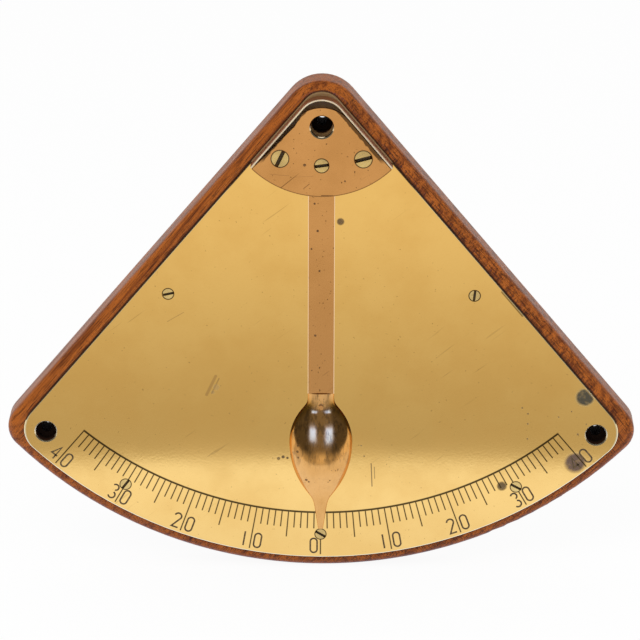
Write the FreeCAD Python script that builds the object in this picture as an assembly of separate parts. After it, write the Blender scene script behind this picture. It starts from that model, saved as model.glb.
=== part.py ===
"""Sector-shaped pendulum clinometer on a wooden backboard, every piece its own solid.

Millimetres. The origin is on the board's back face, on the pendulum's pivot axis.
+Z is up, the dial faces -Y and +X is to the right of someone reading it.
"""
import FreeCAD
import Part
import math
import os

# Wooden backboard
HALF_ANGLE = 40.0           # each straight side from the vertical, parallel to the last graduation
BOARD_THICKNESS = 18.0
BOARD_MARGIN = 5.8          # wood showing outside the dial plate
BOARD_NOSE_RADIUS = 18.8
BOARD_CORNER_RADIUS = 12.0
BOARD_FRONT_ARRIS = 5.0
BOARD_BACK_ARRIS = 1.0

# Brass dial plate
PLATE_THICKNESS = 1.6
PLATE_SIDE_OFFSET = 25.4    # pivot axis to each straight edge, square to it
PLATE_RADIUS = 201.2
PLATE_NOSE_RADIUS = 10.0
PLATE_CORNER_RADIUS = 12.7
PLATE_ARRIS = 0.3

# Engraved scale
SCALE_RADIUS = 177.8
SCALE_SPAN = 40             # degrees each side of zero
LINE_DEPTH = 0.25
ARC_WIDTH = 0.8
TICK_WIDTH = 0.42
TICK_LENGTH = 8.5
FIVE_LENGTH = 13.5
TEN_EDGE_GAP = 1.4          # from the end of a ten degree line to the plate's edge

# Holes for fixing the instrument to a bulkhead
FIXING_RADIUS = 2.6
RECESS_RADIUS = 4.8
RECESS_DEPTH = 5.0
PLATE_HOLE_RADIUS = 5.0
COVER_HOLE_RADIUS = 5.3
HOLE_ARRIS = 0.5            # chamfer round the holes in the dial plate and the cover
CORNER_HOLE_TO_SIDE = 11.6
CORNER_HOLE_TO_ARC = 10.6
TOP_HOLE_HEIGHT = 18.8      # above the pivot axis

# Countersunk slotted wood screws
SMALL_HEAD_RADIUS = 2.75
SMALL_SHANK_RADIUS = 1.4
SMALL_LENGTH = 12.0
MEDIUM_HEAD_RADIUS = 3.45
MEDIUM_SHANK_RADIUS = 1.75
MEDIUM_LENGTH = 20.0
LARGE_HEAD_RADIUS = 4.2
LARGE_SHANK_RADIUS = 2.1
LARGE_LENGTH = 22.0
SHANK_CLEARANCE = 0.05
SCREW_EDGE_DISTANCE = 12.0  # dial screws from the plate's edges
UPPER_SCREW_RADIUS = 98.6
LOWER_SCREW_ANGLES = (-30.0, 0.0, 30.0)
DIAL_SLOT_ANGLES = (12.0, 84.0, 52.0, -30.0, -28.0)
COVER_SLOT_ANGLES = (65.0, 15.0)
PIVOT_SLOT_ANGLE = 8.0
SLOT_SHARE = 0.22           # slot width as a share of the head's diameter
SLOT_DEPTH_SHARE = 0.45     # slot depth as a share of the head's depth
POINT_TAPER = 3.0           # length of a screw's point over its shank's radius

# Front cover on its two pillars, inside a bent brass rim
COVER_HEIGHT = 6.4          # dial face to the cover's front
COVER_THICKNESS = 2.0
COVER_DROP = 15.3           # pivot axis to the lowest point of the cover
COVER_RUN = 22.6            # how far down each side the cover's lower corners are
COVER_SIDE_GAP = 0.5        # cover to rim, along the right side and at the lower corners
COVER_TOP_GAP = 3.6
COVER_NOSE_RUN = -10.4      # where the nose leaves the straight right side
KINK_GAP = 2.4              # the left side is hand cut, with a kink below its shoulder
KINK_RUN = -6.6
LEFT_SHOULDER_GAP = 1.1
LEFT_SHOULDER_RUN = -13.3
COVER_SCREW_X = 19.6
COVER_SCREW_Z = 3.3
PILLAR_RADIUS = 4.0
RIM_HEIGHT = 6.8
RIM_THICKNESS = 0.7
RIM_INSET = 0.3             # inside the dial plate's edge
RIM_NOSE_RADIUS = 11.9
RIM_RUN = 22.2              # past the foot of the pivot's perpendicular on each side

# Pivot
SLEEVE_RADIUS = 2.5
RUNNING_CLEARANCE = 0.04
WASHER_RADIUS = 4.0
WASHER_THICKNESS = 0.4
END_FLOAT = 0.15            # between the bush and each washer
BUSH_RADIUS = 4.0
BUSH_FLANGE_RADIUS = 5.2
BUSH_FLANGE = 0.75

# Pendulum arm and bob
ARM_WIDTH = 12.7
ARM_THICKNESS = 1.2
ARM_ARRIS = 0.3             # chamfer along the front of the strip's sides
TONGUE_WIDTH = 8.0
TONGUE_LENGTH = 24.0
TIP_SHORT_OF_TICK = 0.6     # the pointer ends just above the lower ends of the short ticks
BOB_LENGTH = 70.2           # shoulder to tip
BOB_FROM_DIAL = 1.0
WIDEST_FROM_TIP = 44.2
BOB_HALF_WIDTH = 15.2
UPPER_LEAF_RADIUS = 26.5
LOWER_LEAF_RADIUS = 40.9
POINTER_NECK_HALF_WIDTH = 3.3
POINTER_LENGTH = 14.0
TIP_HALF_WIDTH = 1.2
CREST_FROM_TIP = 35.5
CREST_HEIGHT = 8.0
DOME_RADIUS = 64.5          # of the leaf's front from the crest up, along its length
SHOULDER_HEIGHT = 2.5
POINTER_HEIGHT = 1.5
TIP_HEIGHT = 1.0
EDGE_ROUND = 2.6
LEAF_BLEND = 1.0            # how softly the leaf runs into the arm and the pointer
DOME_BLEND = 0.35           # and its front into the shoulder
SHOULDER_SET_IN = 0.05      # the shoulder's sides lie this far inside the arm's
EDGE_WIDTH_SHARE = 0.6      # most of the half width that the edge round may take
EDGE_HEIGHT_SHARE = 0.7     # and most of the height
LAND_SHARE = 0.15           # upright side behind the edge round
BOB_SECTIONS = 18
RIVET_RADIUS = 1.2
RIVET_LENGTH = 3.2
RIVET_FIRST = 6.5           # below the bob's shoulder
RIVET_PITCH = 11.0

# Planes worked out from the sizes, along -Y
BOARD_FACE = -BOARD_THICKNESS
DIAL_FACE = BOARD_FACE - PLATE_THICKNESS
COVER_FACE = DIAL_FACE - COVER_HEIGHT
COVER_BACK = COVER_FACE + COVER_THICKNESS
CAVITY = DIAL_FACE - COVER_BACK
BUSH_BACK = DIAL_FACE - WASHER_THICKNESS - END_FLOAT
BUSH_FRONT = COVER_BACK + WASHER_THICKNESS + END_FLOAT
ARM_BACK = BUSH_BACK - BUSH_FLANGE
BOB_BACK = DIAL_FACE - BOB_FROM_DIAL

# Places worked out from the sizes
BOARD_SIDE_OFFSET = PLATE_SIDE_OFFSET + BOARD_MARGIN
BOARD_RADIUS = PLATE_RADIUS + BOARD_MARGIN
TIP_Z = -(SCALE_RADIUS + TICK_LENGTH - TIP_SHORT_OF_TICK)
SHOULDER_Z = TIP_Z + BOB_LENGTH
SINE = math.sin(math.radians(HALF_ANGLE))
COSINE = math.cos(math.radians(HALF_ANGLE))
FRONTWARD = FreeCAD.Vector(0, -1, 0)
BACKWARD = FreeCAD.Vector(0, 1, 0)


def at(x, z, y=0.0):
    """A point of the dial's plane, at depth y."""
    return FreeCAD.Vector(x, y, z)


def arc(start, middle, end):
    return Part.Arc(start, middle, end).toShape()


def line(start, end):
    return Part.makeLine(start, end)


def plate_from(edges, depth):
    """A flat piece from its closed outline, thickened towards the front."""
    return Part.Face(Part.Wire(edges)).extrude(FRONTWARD * depth)


def rod(x, z, y_back, depth, radius):
    return Part.makeCylinder(radius, depth, at(x, z, y_back), FRONTWARD)


def on_side(side, offset, run):
    """A point at this offset from the pivot, this far down the left (-1) or right (1) side."""
    return side * (COSINE * offset + SINE * run), SINE * offset - COSINE * run


def polar(radius, degrees):
    """A point of the scale: degrees from straight down, positive to the right."""
    angle = math.radians(degrees)
    return radius * math.sin(angle), -radius * math.cos(angle)


def corner_centre(side, offset, radius, round_radius):
    """Centre of the round that touches a straight side and the bottom arc from inside."""
    inner_offset = offset - round_radius
    run = math.sqrt((radius - round_radius) ** 2 - inner_offset ** 2)
    return on_side(side, inner_offset, run), run


def sector_outline(offset, radius, nose_radius, corner_radius, y):
    """Two straight sides, a rounded nose, a bottom arc about the pivot and rounded corners."""
    nose_z = (offset - nose_radius) / SINE
    nose = [at(s * COSINE * nose_radius, nose_z + SINE * nose_radius, y) for s in (-1, 1)]
    edges = [arc(nose[0], at(0, nose_z + nose_radius, y), nose[1])]
    ends = []
    for side, start in ((-1, nose[0]), (1, nose[1])):
        (cx, cz), run = corner_centre(side, offset, radius, corner_radius)
        reach = math.hypot(cx, cz)
        side_end = at(*on_side(side, offset, run), y)
        arc_end = at(cx * radius / reach, cz * radius / reach, y)
        middle = (side_end + arc_end) * 0.5 - at(cx, cz, y)
        middle = at(cx, cz, y) + middle.normalize() * corner_radius
        edges += [line(start, side_end), arc(side_end, middle, arc_end)]
        ends.append(arc_end)
    edges.append(arc(ends[0], at(0, -radius, y), ends[1]))
    return Part.__sortEdges__(edges)


def edges_at(shape, y):
    """The outline edges of a piece that lie in one plane, without its holes."""
    found = []
    for edge in shape.Edges:
        box = edge.BoundBox
        if abs(box.YMin - y) < 1e-6 and abs(box.YMax - y) < 1e-6:
            found.append(edge)
    return found


def fixing_places():
    """Centres of the three fixing holes: left corner, right corner and top."""
    places = []
    for side in (-1, 1):
        inner_offset = PLATE_SIDE_OFFSET - CORNER_HOLE_TO_SIDE
        reach = PLATE_RADIUS - CORNER_HOLE_TO_ARC
        run = math.sqrt(reach ** 2 - inner_offset ** 2)
        places.append(on_side(side, inner_offset, run))
    places.append((0.0, TOP_HOLE_HEIGHT))
    return places


def dial_screw_places():
    """Centres of the five dial screws: two on the sides, three along the bottom."""
    offset = PLATE_SIDE_OFFSET - SCREW_EDGE_DISTANCE
    run = math.sqrt(UPPER_SCREW_RADIUS ** 2 - offset ** 2)
    places = [on_side(side, offset, run) for side in (-1, 1)]
    radius = PLATE_RADIUS - SCREW_EDGE_DISTANCE
    return places + [polar(radius, degrees) for degrees in LOWER_SCREW_ANGLES]


def cover_screw_places():
    return [(side * COVER_SCREW_X, COVER_SCREW_Z) for side in (-1, 1)]


def wood_screw(x, z, face, head_radius, shank_radius, length, slot_angle):
    """A countersunk slotted wood screw with its head flush with a face."""
    head = head_radius - shank_radius
    tip = POINT_TAPER * shank_radius
    profile = Part.makePolygon([
        at(0, 0), at(head_radius, 0), at(shank_radius, 0, head),
        at(shank_radius, 0, length - tip), at(0, 0, length), at(0, 0)])
    screw = Part.Face(profile).revolve(at(0, 0), BACKWARD, 360)
    width = 2 * head_radius * SLOT_SHARE
    slot = Part.makeBox(2 * head_radius, head * SLOT_DEPTH_SHARE, width,
                        at(-head_radius, -width / 2))
    slot.rotate(at(0, 0), FRONTWARD, slot_angle)
    screw = screw.cut(slot)
    screw.translate(at(x, z, face))
    return screw


def hole_chamfer(x, z, face, radius):
    """What a chamfer takes off the front edge of a round hole."""
    return Part.makeCone(radius + HOLE_ARRIS, radius, HOLE_ARRIS, at(x, z, face), BACKWARD)


def screw_pocket(x, z, face, head_radius, shank_radius, length):
    """The seat and the hole that a countersunk screw needs, head flush with a face."""
    hole = shank_radius + SHANK_CLEARANCE
    seat = Part.makeCone(head_radius, hole, head_radius - hole, at(x, z, face), BACKWARD)
    shaft = Part.makeCylinder(hole, length + hole, at(x, z, face), BACKWARD)
    return seat.fuse(shaft)


def dial_pockets():
    return [screw_pocket(x, z, DIAL_FACE, SMALL_HEAD_RADIUS, SMALL_SHANK_RADIUS, SMALL_LENGTH)
            for x, z in dial_screw_places()]


def cover_pockets():
    pockets = [screw_pocket(x, z, COVER_FACE, LARGE_HEAD_RADIUS, LARGE_SHANK_RADIUS, LARGE_LENGTH)
               for x, z in cover_screw_places()]
    pockets.append(screw_pocket(0, 0, COVER_FACE, MEDIUM_HEAD_RADIUS, MEDIUM_SHANK_RADIUS,
                                MEDIUM_LENGTH))
    return pockets


def backboard():
    """The board, with rounded arrises, recessed fixing holes and the screws' holes."""
    outline = sector_outline(BOARD_SIDE_OFFSET, BOARD_RADIUS, BOARD_NOSE_RADIUS,
                             BOARD_CORNER_RADIUS, 0.0)
    board = plate_from(outline, BOARD_THICKNESS)
    board = board.makeFillet(BOARD_FRONT_ARRIS, edges_at(board, BOARD_FACE))
    board = board.makeFillet(BOARD_BACK_ARRIS, edges_at(board, 0.0))
    cuts = []
    for x, z in fixing_places():
        cuts.append(rod(x, z, 0.0, BOARD_THICKNESS, FIXING_RADIUS))
        cuts.append(rod(x, z, BOARD_FACE + RECESS_DEPTH, RECESS_DEPTH, RECESS_RADIUS))
    return board.cut(cuts + dial_pockets() + cover_pockets())


def tick(degrees):
    """One engraved graduation, from the arc outwards."""
    if degrees % 10 == 0:
        length = PLATE_RADIUS - TEN_EDGE_GAP - SCALE_RADIUS
    elif degrees % 5 == 0:
        length = FIVE_LENGTH
    else:
        length = TICK_LENGTH
    groove = Part.makeBox(TICK_WIDTH, LINE_DEPTH, length,
                          at(-TICK_WIDTH / 2, -SCALE_RADIUS - length, DIAL_FACE))
    groove.rotate(at(0, 0), FRONTWARD, degrees)
    return groove


def scale_arc():
    """The engraved arc that the graduations hang from."""
    half = ARC_WIDTH / 2
    ends = []
    for radius in (SCALE_RADIUS - half, SCALE_RADIUS + half):
        left, right = (at(*polar(radius, s * SCALE_SPAN), DIAL_FACE) for s in (-1, 1))
        ends.append((left, at(0, -radius, DIAL_FACE), right))
    inner, outer = ends
    edges = [arc(*inner), line(inner[2], outer[2]), arc(*outer), line(outer[0], inner[0])]
    face = Part.Face(Part.Wire(Part.__sortEdges__(edges)))
    return face.extrude(BACKWARD * LINE_DEPTH)


def dial_plate():
    """The engraved brass plate, with its screws' countersinks and the fixing holes."""
    outline = sector_outline(PLATE_SIDE_OFFSET, PLATE_RADIUS, PLATE_NOSE_RADIUS,
                             PLATE_CORNER_RADIUS, BOARD_FACE)
    plate = plate_from(outline, PLATE_THICKNESS)
    plate = plate.makeChamfer(PLATE_ARRIS, edges_at(plate, DIAL_FACE))
    holes = [rod(x, z, BOARD_FACE, PLATE_THICKNESS, PLATE_HOLE_RADIUS)
             for x, z in fixing_places()]
    holes += [hole_chamfer(x, z, DIAL_FACE, PLATE_HOLE_RADIUS) for x, z in fixing_places()]
    plate = plate.cut(holes + dial_pockets() + cover_pockets())
    grooves = [tick(degrees) for degrees in range(-SCALE_SPAN, SCALE_SPAN + 1)]
    return plate.cut([scale_arc()] + grooves)


def dial_screws():
    return Part.Compound([
        wood_screw(x, z, DIAL_FACE, SMALL_HEAD_RADIUS, SMALL_SHANK_RADIUS, SMALL_LENGTH, turn)
        for (x, z), turn in zip(dial_screw_places(), DIAL_SLOT_ANGLES)])


def cover_screws():
    return Part.Compound([
        wood_screw(x, z, COVER_FACE, LARGE_HEAD_RADIUS, LARGE_SHANK_RADIUS, LARGE_LENGTH, turn)
        for (x, z), turn in zip(cover_screw_places(), COVER_SLOT_ANGLES)])


def pivot_screw():
    return wood_screw(0, 0, COVER_FACE, MEDIUM_HEAD_RADIUS, MEDIUM_SHANK_RADIUS, MEDIUM_LENGTH,
                      PIVOT_SLOT_ANGLE)


def rim_edges(offset, nose_radius):
    """One face of the bent strip: down one side, over the nose and down the other."""
    nose_z = (offset - nose_radius) / SINE
    nose = [at(s * COSINE * nose_radius, nose_z + SINE * nose_radius, DIAL_FACE)
            for s in (-1, 1)]
    ends = [at(*on_side(s, offset, RIM_RUN), DIAL_FACE) for s in (-1, 1)]
    top = at(0, nose_z + nose_radius, DIAL_FACE)
    return ends, [line(ends[0], nose[0]), arc(nose[0], top, nose[1]), line(nose[1], ends[1])]


def cover_rim():
    """The brass strip bent round the nose, standing on edge on the dial plate."""
    offset = PLATE_SIDE_OFFSET - RIM_INSET
    outer_ends, outer = rim_edges(offset, RIM_NOSE_RADIUS)
    inner_ends, inner = rim_edges(offset - RIM_THICKNESS, RIM_NOSE_RADIUS - RIM_THICKNESS)
    caps = [line(outer_ends[i], inner_ends[i]) for i in (0, 1)]
    return plate_from(Part.__sortEdges__(outer + inner + caps), RIM_HEIGHT)


def cover_outline():
    """Bottom arc, straight right side, nose, and the hand-cut left side with its shoulder."""
    inner = PLATE_SIDE_OFFSET - RIM_INSET - RIM_THICKNESS
    nose_radius = RIM_NOSE_RADIUS - RIM_THICKNESS
    top_z = (inner - nose_radius) / SINE + nose_radius - COVER_TOP_GAP
    side = inner - COVER_SIDE_GAP
    right = at(*on_side(1, side, COVER_RUN), COVER_BACK)
    left = at(*on_side(-1, side, COVER_RUN), COVER_BACK)
    nose_end = at(*on_side(1, side, COVER_NOSE_RUN), COVER_BACK)
    shoulder = at(*on_side(-1, inner - LEFT_SHOULDER_GAP, LEFT_SHOULDER_RUN), COVER_BACK)
    kink = at(*on_side(-1, inner - KINK_GAP, KINK_RUN), COVER_BACK)
    return [arc(left, at(0, -COVER_DROP, COVER_BACK), right), line(right, nose_end),
            arc(nose_end, at(0, top_z, COVER_BACK), shoulder), line(shoulder, kink),
            line(kink, left)]


def front_cover():
    """The bronze plate that carries the front end of the pivot."""
    cover = plate_from(cover_outline(), COVER_THICKNESS)
    hole = rod(0.0, TOP_HOLE_HEIGHT, COVER_BACK, COVER_THICKNESS, COVER_HOLE_RADIUS)
    chamfer = hole_chamfer(0.0, TOP_HOLE_HEIGHT, COVER_FACE, COVER_HOLE_RADIUS)
    return cover.cut([hole, chamfer] + cover_pockets())


def tube(x, z, y_back, length, outer, bore):
    return rod(x, z, y_back, length, outer).cut(rod(x, z, y_back, length, bore))


def cover_pillars():
    bore = LARGE_SHANK_RADIUS + SHANK_CLEARANCE
    return Part.Compound([tube(x, z, DIAL_FACE, CAVITY, PILLAR_RADIUS, bore)
                          for x, z in cover_screw_places()])


def pivot_sleeve():
    bore = MEDIUM_SHANK_RADIUS + SHANK_CLEARANCE
    return tube(0, 0, DIAL_FACE, CAVITY, SLEEVE_RADIUS, bore)


def pivot_washers():
    """One thin washer behind the bush and one in front of it."""
    bore = SLEEVE_RADIUS + SHANK_CLEARANCE
    backs = (DIAL_FACE, COVER_BACK + WASHER_THICKNESS)
    return Part.Compound([tube(0, 0, back, WASHER_THICKNESS, WASHER_RADIUS, bore)
                          for back in backs])


def pivot_bush():
    """The flanged bush that is riveted into the arm and turns on the sleeve."""
    length = BUSH_BACK - BUSH_FRONT
    bush = rod(0, 0, BUSH_BACK, length, BUSH_RADIUS)
    bush = bush.fuse(rod(0, 0, BUSH_BACK, BUSH_FLANGE, BUSH_FLANGE_RADIUS))
    return bush.cut(rod(0, 0, BUSH_BACK, length, SLEEVE_RADIUS + RUNNING_CLEARANCE))


def rivet_places():
    return [(0.0, SHOULDER_Z - RIVET_FIRST - i * RIVET_PITCH) for i in (0, 1)]


def pendulum_arm():
    """A flat strip with a round eye at the pivot and a narrow tongue behind the bob."""
    half = ARM_WIDTH / 2
    tongue = TONGUE_WIDTH / 2
    foot = SHOULDER_Z - TONGUE_LENGTH
    points = [(half, 0.0), (half, SHOULDER_Z), (tongue, SHOULDER_Z), (tongue, foot),
              (-tongue, foot), (-tongue, SHOULDER_Z), (-half, SHOULDER_Z), (-half, 0.0)]
    corners = [at(x, z, ARM_BACK) for x, z in points]
    edges = [line(a, b) for a, b in zip(corners, corners[1:])]
    edges.append(arc(corners[-1], at(0, half, ARM_BACK), corners[0]))
    arm = plate_from(edges, ARM_THICKNESS)
    sides = [edge for edge in edges_at(arm, ARM_BACK - ARM_THICKNESS)
             if abs(abs(edge.CenterOfMass.x) - half) < 1e-6]
    arm = arm.makeChamfer(ARM_ARRIS, sides)
    holes = [rod(x, z, ARM_BACK, ARM_THICKNESS, RIVET_RADIUS) for x, z in rivet_places()]
    return arm.cut(holes + [rod(0, 0, ARM_BACK, ARM_THICKNESS, BUSH_RADIUS)])


def soft_max(a, b, blend=LEAF_BLEND):
    """The larger of two sizes, with the corner where they cross rounded."""
    return max(a, b) + blend * math.log1p(math.exp(-abs(a - b) / blend))


def swell(share):
    """From 1 at share 0 to 0 at share 1, level at both ends."""
    return 0.5 * (1.0 + math.cos(math.pi * min(max(share, 0.0), 1.0)))


def bob_half_width(z):
    """Half the leaf's width: an arc above the widest place, a longer one below, a pointer."""
    widest_z = TIP_Z + WIDEST_FROM_TIP
    radius = UPPER_LEAF_RADIUS if z > widest_z else LOWER_LEAF_RADIUS
    rise = min(abs(z - widest_z), radius)
    leaf = BOB_HALF_WIDTH - radius + math.sqrt(radius ** 2 - rise ** 2)
    if z > widest_z:
        return soft_max(leaf, ARM_WIDTH / 2 - SHOULDER_SET_IN)
    share = min((z - TIP_Z) / POINTER_LENGTH, 1.0)
    stem = TIP_HALF_WIDTH + (POINTER_NECK_HALF_WIDTH - TIP_HALF_WIDTH) * share
    return soft_max(leaf, stem)


def bob_height(z):
    """Thickness along the middle: full at the crest, thin at the shoulder and the pointer."""
    crest_z = TIP_Z + CREST_FROM_TIP
    if z > crest_z:
        rise = min(z - crest_z, DOME_RADIUS)
        dome = CREST_HEIGHT - DOME_RADIUS + math.sqrt(DOME_RADIUS ** 2 - rise ** 2)
        return soft_max(dome, SHOULDER_HEIGHT, DOME_BLEND)
    neck_z = TIP_Z + POINTER_LENGTH
    share = (crest_z - z) / (crest_z - neck_z)
    thin = TIP_HEIGHT + (POINTER_HEIGHT - TIP_HEIGHT) * min((z - TIP_Z) / POINTER_LENGTH, 1.0)
    return thin + (CREST_HEIGHT - thin) * swell(share)


def crown_edge(side, z, inset, land, edge, tilt):
    """The round along one edge of a slice: from the upright side to where the crown begins."""
    half = (math.pi / 2 - tilt) / 2
    depths = (land, land + edge * math.sin(half), land + edge * math.cos(tilt))
    widths = (inset + edge, inset + edge * math.cos(half), inset + edge * math.sin(tilt))
    return [at(side * width, z, BOB_BACK - depth) for width, depth in zip(widths, depths)]


def bob_section(z):
    """A crowned slice: flat back, round edges and a large crown arc across the front."""
    width = bob_half_width(z)
    height = bob_height(z)
    land = LAND_SHARE * min(height, EDGE_ROUND)
    edge = min(EDGE_ROUND, EDGE_WIDTH_SHARE * width, EDGE_HEIGHT_SHARE * (height - land))
    inset = width - edge
    rise = height - land
    crown = (inset ** 2 + rise ** 2 - edge ** 2) / (2 * (rise - edge))
    tilt = math.atan2(inset, crown - rise)
    left, right = (crown_edge(side, z, inset, land, edge, tilt) for side in (-1, 1))
    back_left, back_right = at(-width, z, BOB_BACK), at(width, z, BOB_BACK)
    return Part.Wire([
        line(back_right, back_left), line(back_left, left[0]), arc(*left),
        arc(left[2], at(0.0, z, BOB_BACK - height), right[2]), arc(*reversed(right)),
        line(right[0], back_right)])


def pendulum_bob():
    """The crowned leaf with its pointer, slotted behind for the arm's tongue."""
    step = BOB_LENGTH / (BOB_SECTIONS - 1)
    sections = [bob_section(TIP_Z + i * step) for i in range(BOB_SECTIONS)]
    bob = Part.makeLoft(sections, True, True)
    depth = BOB_BACK - ARM_BACK + ARM_THICKNESS
    slot = Part.makeBox(TONGUE_WIDTH, depth, TONGUE_LENGTH,
                        at(-TONGUE_WIDTH / 2, SHOULDER_Z - TONGUE_LENGTH, BOB_BACK - depth))
    holes = [rod(x, z, ARM_BACK, RIVET_LENGTH, RIVET_RADIUS) for x, z in rivet_places()]
    return bob.cut([slot] + holes)


def bob_rivets():
    return Part.Compound([rod(x, z, ARM_BACK, RIVET_LENGTH, RIVET_RADIUS)
                          for x, z in rivet_places()])


PIECES = {
    "backboard": backboard,
    "dial_plate": dial_plate,
    "dial_screws": dial_screws,
    "front_cover": front_cover,
    "cover_rim": cover_rim,
    "cover_pillars": cover_pillars,
    "cover_screws": cover_screws,
    "pivot_screw": pivot_screw,
    "pivot_sleeve": pivot_sleeve,
    "pivot_washers": pivot_washers,
    "pivot_bush": pivot_bush,
    "pendulum_arm": pendulum_arm,
    "pendulum_bob": pendulum_bob,
    "bob_rivets": bob_rivets,
}


def main():
    os.makedirs("parts", exist_ok=True)
    for name, make in PIECES.items():
        shape = make()
        shape.exportStep("parts/" + name + ".step")
        print(name, len(shape.Solids), shape.isValid(), round(shape.Volume, 1))


main()
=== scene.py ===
"""The looks of a pendulum clinometer: brass dial, varnished board, bronze pendulum and cover.

Lengths are in metres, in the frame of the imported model, and every pattern is laid out in
millimetres of that frame. The dial faces -Y and +Z is up.
"""

import logging
import math
from dataclasses import dataclass, replace
from enum import Enum

import bmesh
import bpy
from mathutils import Matrix, Vector

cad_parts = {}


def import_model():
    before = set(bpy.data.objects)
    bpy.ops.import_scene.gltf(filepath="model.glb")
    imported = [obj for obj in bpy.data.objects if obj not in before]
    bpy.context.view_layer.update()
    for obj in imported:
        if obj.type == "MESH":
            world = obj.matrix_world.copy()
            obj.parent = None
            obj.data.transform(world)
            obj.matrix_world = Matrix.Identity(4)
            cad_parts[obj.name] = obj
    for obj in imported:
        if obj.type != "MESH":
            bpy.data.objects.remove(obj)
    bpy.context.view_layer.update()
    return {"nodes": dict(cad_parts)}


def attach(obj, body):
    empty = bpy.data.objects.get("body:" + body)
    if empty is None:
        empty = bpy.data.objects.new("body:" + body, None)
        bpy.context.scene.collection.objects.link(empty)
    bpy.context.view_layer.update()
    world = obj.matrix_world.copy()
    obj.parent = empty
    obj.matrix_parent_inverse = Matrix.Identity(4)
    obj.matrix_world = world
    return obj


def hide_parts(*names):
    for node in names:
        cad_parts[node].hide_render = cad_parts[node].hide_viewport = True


LOG = logging.getLogger("clinometer")
MM = 0.001
HALF_ANGLE = math.radians(40.0)
DIAL_FACE = -19.6
COVER_FACE = -26.0
SCALE_RADIUS = 177.8
SCALE_SPAN = 40.0
PLATE_OFFSET = 25.4
PLATE_RADIUS = 201.2
PLATE_NOSE = 10.0
PLATE_CORNER = 12.7
RIM_OFFSET = 24.75
RIM_NOSE = 11.55
RIM_FRONT = -26.4
COVER_CENTRE = (0.0, 31.7)
COVER_LOWER_RADIUS = 47.0
GRAIN_TURN = 50.0

Colour = tuple[float, float, float]
Place = tuple[float, float]
Span = tuple[float, float]


class Body(Enum):
    """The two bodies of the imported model."""

    CASE = "case"
    PENDULUM = "pendulum"


class Tarnish(Enum):
    """Colours of the spots that age has left on the metals."""

    GREY_GREEN = (0.10, 0.085, 0.05)
    GREY_PINK = (0.20, 0.12, 0.075)
    OLIVE = (0.10, 0.07, 0.04)
    RUSSET = (0.10, 0.05, 0.03)
    DARK = (0.10, 0.06, 0.03)
    BROWN = (0.15, 0.10, 0.05)
    LIGHT_BROWN = (0.20, 0.11, 0.04)
    TAN = (0.20, 0.12, 0.05)
    AMBER = (0.30, 0.18, 0.07)
    RED_BROWN = (0.10, 0.04, 0.015)
    BOB_BROWN = (0.12, 0.05, 0.02)


def polar(radius: float, degrees: float) -> Place:
    """A place on the dial.

    Args:
        radius: Distance from the pivot, in millimetres.
        degrees: Angle from straight down, positive to the right.

    Returns:
        The x and z of the place, in millimetres.
    """
    angle = math.radians(degrees)
    return radius * math.sin(angle), -radius * math.cos(angle)


@dataclass(frozen=True)
class Grain:
    """A noise pattern in millimetres, and the soft step that turns it into marks."""

    scale: float
    start: float = 0.0
    end: float = 1.0
    low: float = 0.0
    high: float = 1.0
    detail: float = 3.0
    stretch: tuple[float, float, float] = (1.0, 1.0, 1.0)
    turn: float = 0.0
    rough: float = 0.5


SPECKS = Grain(0.8, 0.745, 0.79, high=0.35, detail=1.0)
WORN = Grain(0.02, 0.50, 0.60, high=0.25, detail=2.0)


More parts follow.
